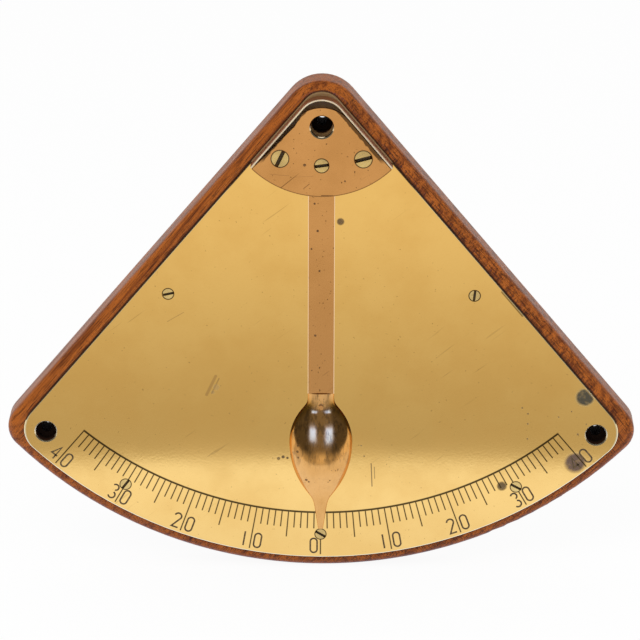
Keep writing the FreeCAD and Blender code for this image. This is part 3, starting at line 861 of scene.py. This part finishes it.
@dataclass
class Numerals:
    """The numbers of the scale, each digit cut in a few strokes beside its ten degree line."""

    height: float = 7.4
    width: float = 3.3
    stroke: float = 0.82
    radius: float = 195.2
    from_line: float = 3.3
    proud: float = 0.03
    tens: tuple[int, ...] = (-40, -30, -20, -10, 10, 20, 30, 40)
    bend_step: float = 12.0
    two_bowl: Span = (170.0, -35.0)
    three_upper: Span = (150.0, -80.0)
    three_lower: Span = (80.0, -150.0)
    three_upper_share: float = 0.92
    three_foot_share: float = 0.98
    four_stem: float = 0.45
    four_bar: float = 0.35
    least_turn: float = 0.5
    colour: Colour = (0.075, 0.045, 0.013)
    worn: Grain = Grain(0.9, 0.35, 0.75)
    worn_lightness: float = 2.5
    roughness: float = 0.55
    metallic: float = 0.3

    def bend(self, centre: Place, radius: float, turns: Span) -> list[Place]:
        """A round stretch of a stroke.

        Args:
            centre: Its centre, in millimetres from the digit's middle.
            radius: Its radius.
            turns: Its first and last angle, in degrees from the right, anticlockwise.

        Returns:
            Points along it.
        """
        start, end = turns
        steps = max(int(abs(end - start) // self.bend_step), 2)
        angles = [math.radians(start + (end - start) * i / steps) for i in range(steps + 1)]
        return [(centre[0] + radius * math.cos(angle), centre[1] + radius * math.sin(angle))
                for angle in angles]

    def strokes(self, mark: str) -> list[list[Place]]:
        """The strokes of one digit.

        Args:
            mark: The digit, from 0 to 4.

        Returns:
            Each stroke's points, in millimetres from the digit's middle.
        """
        half, top = self.width / 2, self.height / 2
        bowl = top - half
        if mark == "0":
            rim = self.bend((0.0, bowl), half, (0.0, 180.0))
            rim += self.bend((0.0, -bowl), half, (180.0, 360.0))
            return [rim + rim[:1]]
        if mark == "1":
            return [[(0.0, top), (0.0, -top)]]
        if mark == "2":
            return [self.bend((0.0, bowl), half, self.two_bowl) + [(-half, -top), (half, -top)]]
        if mark == "3":
            small = half * self.three_upper_share
            foot = small - top * self.three_foot_share
            return [self.bend((0.0, top - small), small, self.three_upper),
                    self.bend((0.0, foot), half, self.three_lower)]
        stem, bar = half * self.four_stem, -top * self.four_bar
        return [[(stem, -top), (stem, top), (-half, bar), (half, bar)]]

    def ribbon(self, mesh: bmesh.types.BMesh, points: list[Place], place: Matrix) -> None:
        """Lays a thin flat strip along a stroke.

        Args:
            mesh: The mesh that takes it.
            points: The stroke's points.
            place: From the digit's own millimetres to the dial.
        """
        closed = points[0] == points[-1]
        edge = []
        for i, point in enumerate(points):
            before = points[i - 1] if i else (points[-2] if closed else point)
            after = points[i + 1] if i + 1 < len(points) else (points[1] if closed else point)
            ways = [(Vector(b) - Vector(a)).normalized()
                    for a, b in ((before, point), (point, after)) if a != b]
            way = sum(ways, Vector((0.0, 0.0))).normalized()
            wide = self.stroke / 2 / max(abs(way.dot(ways[0])), self.least_turn)
            side = Vector((-way.y, way.x)) * wide
            edge.append([mesh.verts.new(place @ Vector((point[0] + s * side.x, 0.0,
                                                        point[1] + s * side.y))) for s in (1, -1)])
        for (a, b), (c, d) in zip(edge, edge[1:]):
            mesh.faces.new((a, b, d, c))

    def digit(self, mesh: bmesh.types.BMesh, mark: str, degrees: float, shift: float) -> None:
        """Cuts one digit.

        Args:
            mesh: The mesh that takes it.
            mark: The digit.
            degrees: Its line's angle.
            shift: Its middle's distance to the right of that line, in millimetres.
        """
        place = (Matrix.Scale(MM, 4) @ Matrix.Rotation(-math.radians(degrees), 4, "Y")
                 @ Matrix.Translation((shift, DIAL_FACE - self.proud, -self.radius)))
        for points in self.strokes(mark):
            self.ribbon(mesh, points, place)

    def filling(self) -> bpy.types.Material:
        """Builds the material that fills the digits.

        Returns:
            The material.
        """
        sheet = Sheet("engraving_fill")
        shade = tuple(self.worn_lightness * part for part in self.colour)
        colour = sheet.blend(sheet.marks(self.worn), self.colour, shade)
        return sheet.dress(Base_Color=colour, Roughness=self.roughness, Metallic=self.metallic)

    def build(self) -> bpy.types.Object:
        """Makes all the numbers as one piece and gives them their filling.

        Returns:
            The piece.
        """
        mesh = bmesh.new()
        self.digit(mesh, "0", 0.0, -self.from_line)
        for degrees in self.tens:
            self.digit(mesh, str(abs(degrees) // 10), degrees, -self.from_line)
            self.digit(mesh, "0", degrees, self.from_line)
        data = bpy.data.meshes.new("scale_numerals")
        bmesh.ops.recalc_face_normals(mesh, faces=mesh.faces)
        mesh.to_mesh(data)
        mesh.free()
        piece = only(bpy.data.objects.new("scale_numerals", data), new=True)
        bpy.ops.object.modifier_add(type="SOLIDIFY")
        piece.modifiers[0].thickness = self.proud * MM
        bpy.ops.object.modifier_apply(modifier=piece.modifiers[0].name)
        paint(piece, self.filling())
        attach(piece, Body.CASE.value)
        return piece


@dataclass
class Bob:
    """The crowned leaf at the pendulum's foot, which ends in the pointer."""

    tip: float = -185.7
    length: float = 70.2
    back: float = -20.6
    widest: float = 44.2
    half_width: float = 15.2
    upper_radius: float = 26.5
    lower_radius: float = 40.9
    shoulder_half_width: float = 6.3
    tip_half_width: float = 1.2
    neck_half_width: float = 3.3
    pointer_length: float = 14.0
    crest: float = 35.5
    crest_height: float = 7.9
    shoulder_height: float = 2.5
    neck_height: float = 1.5
    tip_height: float = 1.0
    dome_radius: float = 64.5
    leaf_blend: float = 1.0
    dome_blend: float = 0.35
    rings: int = 100
    around: int = 128
    crease: float = 40.0
    base: Colour = (0.82, 0.42, 0.125)
    shade: Colour = (0.70, 0.33, 0.08)
    roughness: float = 0.12
    specks: Grain = replace(SPECKS, start=0.725, end=0.77, high=0.8)
    worn: Grain = replace(WORN, high=0.1)
    stains: tuple[Stain, ...] = spots_of(
        Tarnish.BOB_BROWN, (-11.0, -141.0, 0.5), (-11.2, -144.0, 0.6), (-10.8, -147.0, 0.5),
        (-6.9, -158.8, 0.7), (-5.7, -159.8, 0.5))

    def soft_max(self, first: float, second: float, blend: float) -> float:
        """The larger of two sizes, with the corner where they cross rounded."""
        gap = abs(first - second) / blend
        return max(first, second) + blend * math.log1p(math.exp(-gap))

    def width_at(self, up: float) -> float:
        """Half the leaf's width.

        Args:
            up: Height above the pointer's tip, in millimetres.

        Returns:
            The half width, in millimetres.
        """
        rise = abs(up - self.widest)
        radius = self.upper_radius if up > self.widest else self.lower_radius
        leaf = self.half_width - radius + math.sqrt(max(radius ** 2 - rise ** 2, 0.0))
        if up > self.widest:
            return self.soft_max(leaf, self.shoulder_half_width, self.leaf_blend)
        share = min(up / self.pointer_length, 1.0)
        stem = self.tip_half_width + (self.neck_half_width - self.tip_half_width) * share
        return self.soft_max(leaf, stem, self.leaf_blend)

    def height_at(self, up: float) -> float:
        """How far the leaf's middle stands forward of its flat back.

        Args:
            up: Height above the pointer's tip, in millimetres.

        Returns:
            The height, in millimetres.
        """
        if up > self.crest:
            rise = up - self.crest
            drop = self.dome_radius - math.sqrt(self.dome_radius ** 2 - rise ** 2)
            return self.soft_max(self.crest_height - drop, self.shoulder_height, self.dome_blend)
        share = (self.crest - up) / (self.crest - self.pointer_length)
        along = min(up / self.pointer_length, 1.0)
        low = self.tip_height + (self.neck_height - self.tip_height) * along
        swell = 0.5 * (1.0 + math.cos(math.pi * min(max(share, 0.0), 1.0)))
        return low + (self.crest_height - low) * swell

    def build(self) -> bpy.types.Object:
        """Makes the leaf from a tube that is swollen ring by ring.

        Returns:
            The leaf.
        """
        bpy.ops.object.select_all(action="DESELECT")
        middle = (0.0, self.back * MM, (self.tip + self.length / 2) * MM)
        bpy.ops.mesh.primitive_cylinder_add(vertices=self.around, radius=MM,
                                            depth=self.length * MM, location=middle)
        bpy.ops.object.transform_apply(location=True, rotation=True, scale=True)
        piece = only(bpy.context.object)
        piece.name = "bob_leaf"
        bpy.ops.object.mode_set(mode="EDIT")
        bpy.ops.mesh.select_mode(type="EDGE")
        bpy.ops.mesh.select_all(action="DESELECT")
        mesh = bmesh.from_edit_mesh(piece.data)
        for edge in mesh.edges:
            first, second = edge.verts
            edge.select = abs(first.co.z - second.co.z) > MM
        mesh.select_mode = {"EDGE"}
        mesh.select_flush_mode()
        bmesh.update_edit_mesh(piece.data)
        bpy.ops.mesh.subdivide(number_cuts=self.rings - 1)
        bpy.ops.mesh.select_mode(type="VERT")
        self.swell(piece)
        bpy.ops.mesh.select_all(action="SELECT")
        bpy.ops.mesh.bisect(plane_co=(0.0, self.back * MM, 0.0), plane_no=(0.0, 1.0, 0.0),
                            use_fill=True, clear_outer=True)
        bpy.ops.mesh.select_all(action="SELECT")
        bpy.ops.mesh.normals_make_consistent(inside=False)
        bpy.ops.object.mode_set(mode="OBJECT")
        bpy.ops.object.shade_smooth_by_angle(angle=math.radians(self.crease))
        return piece

    def swell(self, piece: bpy.types.Object) -> None:
        """Scales each ring of the tube to the leaf's width and height there.

        Args:
            piece: The tube, in edit mode.
        """
        mesh = bmesh.from_edit_mesh(piece.data)
        rings: dict[float, list] = {}
        for vert in mesh.verts:
            rings.setdefault(round(vert.co.z / MM - self.tip, 2), []).append(vert)
        for up, verts in rings.items():
            size = (self.width_at(up), self.height_at(up), 1.0)
            place = Matrix.Translation((0.0, -self.back * MM, 0.0))
            bmesh.ops.scale(mesh, vec=size, space=place, verts=verts)
        bmesh.update_edit_mesh(piece.data)

    def dress(self, piece: bpy.types.Object) -> None:
        """Gives the leaf its polish and its place on the pendulum.

        Args:
            piece: The leaf.
        """
        polish = BobBronze("bob_mirror_bronze", self.base, self.shade, roughness=self.roughness,
                           specks=self.specks, worn=self.worn, stains=self.stains)
        paint(piece, polish.material())
        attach(piece, Body.PENDULUM.value)
        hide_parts("pendulum_bob")


@dataclass
class Case:
    """The fixed nodes and the pendulum's plain nodes, with their finishes."""

    nodes: dict[str, bpy.types.Object]
    red: Colour = (0.675, 0.325, 0.100)
    dim_red: Colour = (0.61, 0.285, 0.082)
    red_roughness: float = 0.10
    red_specks: Grain = replace(SPECKS, start=0.715, end=0.76, high=0.8)
    red_worn: Grain = replace(WORN, start=0.42, end=0.52, high=0.7)
    arm_worn: float = 0.6
    stains: tuple[Stain, ...] = (
        Stain((127.0, -117.4), 4.4, Tarnish.GREY_GREEN, 0.97),
        Stain((123.0, -151.0), 4.8, Tarnish.GREY_PINK, 0.97),
        Stain((87.8, -163.5), 2.2, Tarnish.OLIVE, 0.85),
        Stain((9.0, -29.5), 1.7, Tarnish.RUSSET),
        *spots_of(Tarnish.DARK, (-20.4, -149.9, 0.8), (-18.2, -149.1, 0.8), (-16.1, -149.6, 0.6),
                  strength=0.85),
        *spots_of(Tarnish.BROWN, (19.5, -143.0, 0.4), (21.0, -148.4, 0.4), strength=0.7),
        Stain((-50.4, -113.4), 1.6, Tarnish.AMBER, 0.5),
        Stain((-52.0, -116.0), 0.9, Tarnish.TAN, 0.5),
        Stain((-94.3, -161.9), 0.9, Tarnish.BROWN),
        *spots_of(Tarnish.LIGHT_BROWN, (96.9, -123.0, 0.5), (99.7, -126.0, 0.5),
                  (99.7, -131.2, 0.5), (99.7, -138.9, 0.5), (114.5, -127.6, 0.4),
                  (120.7, -124.7, 0.4), (123.9, -136.4, 0.6), (127.9, -131.2, 0.4)))
    scratches: tuple[Scratch, ...] = (
        Scratch((86.4, -64.2), (96.2, -75.9), 0.65, (0.04, 0.025, 0.012), 1.0),
        Scratch((24.4, -152.3), (24.9, -164.0), 0.25, (0.15, 0.09, 0.04), 0.8),
        Scratch((25.9, -154.0), (26.2, -160.0), 0.18, (0.15, 0.09, 0.04), 0.7),
        Scratch((-55.0, -117.3), (-50.6, -107.8), 0.7, (0.40, 0.22, 0.08), 0.45),
        Scratch((-52.6, -116.6), (-49.0, -109.0), 0.3, (0.30, 0.17, 0.06), 0.45),
        Scratch((-73.6, -80.2), (-65.8, -75.5), 0.2, (0.45, 0.26, 0.09), 0.5))
    arm_stains: tuple[Stain, ...] = spots_of(
        Tarnish.RED_BROWN, (-3.3, -19.9, 0.5), (-1.8, -33.4, 0.6), (-4.7, -42.4, 0.45),
        (-0.9, -53.4, 0.5), (-2.8, -85.9, 0.6))
    # Painted highlights along the arm's two long chamfered edges, laid on as straight marks.
    arm_edge_highlights: tuple[Scratch, ...] = (
        Scratch((-6.2, -10.0), (-6.2, -115.4), 0.16, (1.0, 0.72, 0.44), 0.85),
        Scratch((6.2, -10.0), (6.2, -115.4), 0.16, (1.0, 0.72, 0.44), 0.85))
    cover_stains: tuple[Stain, ...] = (
        Stain((-8.0, 0.3), 0.7, Tarnish.RED_BROWN),
        Stain((11.0, -7.5), 0.45, Tarnish.RED_BROWN, 0.7))
    # Scratches on the cover, and last a painted shadow line along its lower edge above the arm.
    cover_scratches_and_shadow: tuple[Scratch, ...] = (
        Scratch((-8.4, -11.2), (-5.8, -9.0), 0.2, (0.14, 0.06, 0.02), 0.6),
        Scratch((-24.0, -4.3), (-15.4, -5.0), 0.12, (0.25, 0.11, 0.04), 0.5),
        Scratch((-13.0, -5.6), (-4.0, -5.2), 0.10, (0.25, 0.11, 0.04), 0.4),
        # Painted shadow line along the cover's lower edge, where the arm comes out beneath it.
        Scratch((0.0, -14.6), (5.4, -14.7), 0.25, (0.12, 0.05, 0.02), 0.7))
    upper_screws: tuple[Place, ...] = ((-73.1, -66.2), (73.1, -66.2))
    lower_radius: float = 189.2
    lower_turns: tuple[int, ...] = (-30, 0, 30)
    dial_screw_radius: float = 2.75
    cover_seats: tuple[tuple[Place, float], ...] = (
        ((-19.6, 3.3), 4.2), ((19.6, 3.3), 4.2), ((0.0, 0.0), 3.45))

    def screw_places(self) -> tuple[Place, ...]:
        """The five dial screws' centres."""
        lower = tuple(polar(self.lower_radius, degrees) for degrees in self.lower_turns)
        return self.upper_screws + lower

    def bronzes(self) -> tuple[RubbedMetal, RubbedMetal]:
        """Describes the two red bronzes.

        Returns:
            The front cover's and the arm's.
        """
        cover = CoverBronze("cover_red_bronze", self.red, self.dim_red,
                            roughness=self.red_roughness, specks=self.red_specks,
                            worn=self.red_worn, rings=self.cover_seats,
                            stains=self.cover_stains, scratches=self.cover_scratches_and_shadow)
        arm = RubbedMetal("arm_red_bronze", self.red, self.dim_red,
                          roughness=self.red_roughness, specks=self.red_specks,
                          worn=replace(self.red_worn, high=self.arm_worn),
                          stains=self.arm_stains, scratches=self.arm_edge_highlights)
        return cover, arm

    def finishes(self) -> dict[str, bpy.types.Material]:
        """Makes the material of each node.

        Returns:
            The materials by node.
        """
        seats = tuple((place, self.dial_screw_radius) for place in self.screw_places())
        dial = DialBrass("dial_satin_brass", (0.91, 0.555, 0.158), (0.86, 0.505, 0.135),
                         roughness=0.035, stains=self.stains, scratches=self.scratches,
                         rings=seats, relief=0.0000008)
        cover, arm = self.bronzes()
        bronze = arm.material()
        brass = RubbedMetal("pivot_turned_brass", (0.72, 0.50, 0.22), (0.55, 0.36, 0.15)).material()
        dial_screw = RubbedMetal("dial_screw_brass", (0.90, 0.62, 0.21), (0.55, 0.36, 0.12),
                                 roughness=0.22, slot_below=DIAL_FACE, rings=seats)
        cover_screw = RubbedMetal("cover_screw_brass", (0.95, 0.66, 0.22), (0.60, 0.38, 0.12),
                                  roughness=0.22, slot_below=COVER_FACE, rings=self.cover_seats)
        rim = RimBrass("rim_polished_brass", (1.0, 0.82, 0.52), (0.85, 0.60, 0.32),
                       roughness=0.25).material()
        heads = cover_screw.material()
        return {"backboard": Varnish().material(), "dial_plate": dial.material(),
                "dial_screws": dial_screw.material(), "front_cover": cover.material(),
                "cover_rim": rim, "cover_pillars": brass, "cover_screws": heads,
                "pivot_screw": heads, "pivot_sleeve": brass, "pivot_washers": brass,
                "pivot_bush": brass, "pendulum_arm": bronze, "pendulum_bob": bronze,
                "bob_rivets": bronze}

    def dress(self) -> None:
        """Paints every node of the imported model."""
        for name, material in self.finishes().items():
            paint(self.nodes[name], material)
            LOG.info("dressed %s", name)


@dataclass
class Viewpoint:
    """The photograph's camera, aimed at a place on the dial's face."""

    elevation: float = math.radians(19.155)
    azimuth: float = math.radians(0.553)
    roll: float = math.radians(0.193)
    aim_right: float = -0.584
    aim_up: float = -74.52
    distance: float = 1885.5
    lens: float = 225.0
    sensor: float = 36.0

    def build(self) -> None:
        """Places the camera."""
        flat = Vector((-math.sin(self.azimuth), math.cos(self.azimuth), 0.0))
        ahead = flat * math.cos(self.elevation) - Vector((0.0, 0.0, math.sin(self.elevation)))
        right = Vector((math.cos(self.azimuth), math.sin(self.azimuth), 0.0))
        up = right.cross(ahead)
        aim = Vector((0.0, DIAL_FACE, 0.0))
        place = aim - ahead * self.distance + right * self.aim_right + up * self.aim_up
        rolled_right = right * math.cos(self.roll) + up * math.sin(self.roll)
        rolled_up = up * math.cos(self.roll) - right * math.sin(self.roll)
        turn = Matrix((rolled_right, rolled_up, -ahead)).transposed().to_4x4()
        data = bpy.data.cameras.new("viewpoint")
        data.sensor_width = self.sensor
        data.lens = self.lens
        camera = bpy.data.objects.new("viewpoint", data)
        bpy.context.collection.objects.link(camera)
        camera.matrix_world = Matrix.Translation(place * MM) @ turn
        bpy.context.scene.camera = camera


@dataclass(frozen=True)
class Patch:
    """A soft-edged patch of the room: its angle across in radians, and its heights."""

    across: float
    half_across: float
    low: float
    high: float
    side_shares: Span = (0.6, 1.4)
    low_soft: float = 0.03
    high_soft: float = 0.05


class Sky(Wiring):
    """The world's nodes, with the direction that each ray comes from."""

    def __init__(self, name: str) -> None:
        """Starts an empty world.

        Args:
            name: The world's name.
        """
        world = bpy.data.worlds.new(name)
        bpy.context.scene.world = world
        world.use_nodes = True
        super().__init__(world.node_tree)
        self.tree.nodes.clear()
        split = self.tree.nodes.new("ShaderNodeSeparateXYZ")
        way = self.tree.nodes.new("ShaderNodeTexCoord").outputs["Generated"]
        self.tree.links.new(way, split.inputs[0])
        self.up = split.outputs[2]
        self.front = self.times(split.outputs[1], -1.0)
        self.across = self.math("ARCTAN2", split.outputs[0], self.front)

    def window(self, patch: Patch) -> object:
        """A soft-edged patch of the room.

        Args:
            patch: Where it is.

        Returns:
            A socket that is 1 inside the patch and 0 outside.
        """
        off = self.math("ABSOLUTE", self.minus(self.across, patch.across))
        sides = (patch.half_across * share for share in patch.side_shares)
        beside = self.rest(self.ease(off, *sides))
        above = self.ease(self.up, patch.low - patch.low_soft, patch.low + patch.low_soft)
        below = self.ease(self.up, patch.high - patch.high_soft, patch.high + patch.high_soft)
        return self.times(beside, self.times(above, self.rest(below)))


@dataclass(frozen=True)
class Room:
    """The world: white to the camera, even to matt surfaces, and a studio to metals.

    A height is the upward part of a direction, from -1 to 1.
    """

    fill: float = 0.75
    white: Colour = (1.0, 1.0, 1.0)
    table_edge: Span = (-0.3622, -0.3588)
    table_tint: Colour = (1.0, 1.12, 1.45)
    glint_edge: Span = (-0.379, -0.366)
    glint: float = 0.07
    dark_lift: float = 0.15
    dark_floor: float = -0.10
    dark_lean: float = 2.2
    dark_edge: Span = (0.40, 0.58)
    darkness: float = 0.90
    glow_patch: Patch = Patch(0.0, 0.30, -0.30, 0.50)
    glow: float = 0.12
    left_pane: Patch = Patch(-0.24, 0.10, 0.00, 0.22)
    right_pane: Patch = Patch(0.24, 0.12, -0.03, 0.22)
    pane: float = 0.75
    pane_tint: Colour = (0.95, 1.9, 7.0)
    card_patch: Patch = Patch(0.0, 0.17, -0.40, -0.19)
    card_edge: Span = (-0.368, -0.300)
    card: float = 0.41
    card_rise: float = 0.32
    wide_patch: Patch = Patch(0.0, 0.9, -0.45, -0.22)

    def level(self, sky: Sky, table: object, panes: object) -> object:
        """How bright the room is to metals.

        Args:
            sky: The world's nodes.
            table: Share of the table below.
            panes: Share of the two window panes.

        Returns:
            The brightness's socket.
        """
        away = sky.rest(table)
        above = sky.most(sky.plus(sky.up, self.dark_lift), self.dark_floor)
        lean = sky.plus(sky.front, sky.times(above, self.dark_lean))
        shade = sky.times(sky.ease(lean, *self.dark_edge), away)
        level = sky.rest(sky.times(shade, self.darkness))
        glow = sky.times(sky.window(self.glow_patch), self.glow)
        level = sky.plus(level, sky.times(glow, away))
        glint = sky.times(sky.ease(sky.up, *self.glint_edge), self.glint)
        level = sky.plus(level, sky.times(glint, table))
        level = sky.plus(level, sky.times(panes, self.pane))
        card = sky.plus(self.card, sky.times(sky.ease(sky.up, *self.card_edge), self.card_rise))
        card = sky.times(card, sky.window(self.card_patch))
        card = sky.most(card, sky.times(sky.window(self.wide_patch), self.card))
        return sky.plus(level, sky.times(card, away))

    def build(self) -> None:
        """Makes the world."""
        sky = Sky("room")
        table = sky.rest(sky.ease(sky.up, *self.table_edge))
        panes = sky.plus(sky.window(self.left_pane), sky.window(self.right_pane))
        light = sky.tree.nodes.new("ShaderNodeLightPath").outputs
        glossy = light["Is Glossy Ray"]
        seen = sky.most(light["Is Camera Ray"], light["Is Transmission Ray"])
        matt = sky.rest(sky.most(glossy, seen))
        mirrored = sky.times(glossy, self.level(sky, table, panes))
        strength = sky.plus(mirrored, sky.plus(seen, sky.times(matt, self.fill)))
        colour = sky.blend(sky.times(table, glossy), self.white, self.table_tint)
        colour = sky.blend(sky.times(panes, glossy), colour, self.pane_tint)
        back = sky.tree.nodes.new("ShaderNodeBackground")
        sky.plug(colour, back.inputs["Color"])
        sky.plug(strength, back.inputs["Strength"])
        sky.plug(back.outputs[0], sky.tree.nodes.new("ShaderNodeOutputWorld").inputs[0])


@dataclass(frozen=True)
class Lamp:
    """A soft square lamp, in metres and watts."""

    name: str
    place: tuple[float, float, float]
    size: float
    power: float


@dataclass
class Studio:
    """A plain pale floor, soft lamps and the room that the metals mirror."""

    room: Room = Room()
    floor_level: float = -207.3
    floor_size: float = 9.0
    floor_colour: Colour = (0.88, 0.88, 0.88)
    floor_roughness: float = 0.9
    floor_glow: float = 0.93
    aim: tuple[float, float, float] = (0.0, 0.0, -0.09)
    lamps: tuple[Lamp, ...] = (Lamp("key", (-0.9, -1.6, 1.5), 1.6, 26.0),
                               Lamp("side", (1.6, -0.7, 0.8), 1.4, 9.0))

    def floor(self) -> None:
        """Lays the floor, which keeps a faint shadow."""
        bpy.ops.object.select_all(action="DESELECT")
        bpy.ops.mesh.primitive_plane_add(size=self.floor_size,
                                         location=(0.0, 0.0, self.floor_level * MM))
        piece = bpy.context.object
        piece.name = "floor"
        sheet = Sheet("floor_pale")
        nodes = sheet.tree.nodes
        camera = nodes.new("ShaderNodeLightPath").outputs["Is Camera Ray"]
        mix = nodes.new("ShaderNodeMixShader")
        sheet.plug(sheet.times(camera, self.floor_glow), mix.inputs[0])
        sheet.plug(sheet.shader.outputs[0], mix.inputs[1])
        sheet.plug(nodes.new("ShaderNodeEmission").outputs[0], mix.inputs[2])
        sheet.plug(mix.outputs[0], nodes["Material Output"].inputs[0])
        paint(piece, sheet.dress(Base_Color=self.floor_colour, Roughness=self.floor_roughness))
        piece.visible_glossy = False

    def light(self) -> None:
        """Hangs the soft lamps, which light matt surfaces only."""
        for lamp in self.lamps:
            data = bpy.data.lights.new(lamp.name, "AREA")
            data.size = lamp.size
            data.energy = lamp.power
            piece = bpy.data.objects.new(lamp.name, data)
            bpy.context.collection.objects.link(piece)
            piece.location = lamp.place
            way = Vector(self.aim) - piece.location
            piece.rotation_euler = way.to_track_quat("-Z", "Y").to_euler()
            piece.visible_glossy = False

    def build(self) -> None:
        """Sets up floor, room and lamps."""
        self.floor()
        self.room.build()
        self.light()


def main() -> None:
    """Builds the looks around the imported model, in order."""
    logging.basicConfig(level=logging.INFO, format="%(name)s: %(message)s")
    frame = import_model()
    Viewpoint().build()
    Studio().build()
    Case(frame["nodes"]).dress()
    numerals = Numerals().build()
    LOG.info("built %s with %d faces", numerals.name, len(numerals.data.polygons))
    bob = Bob()
    leaf = bob.build()
    bob.dress(leaf)
    LOG.info("built %s with %d faces", leaf.name, len(leaf.data.polygons))
    bpy.context.scene.view_settings.view_transform = "Standard"


if __name__ == "__main__":
    main()
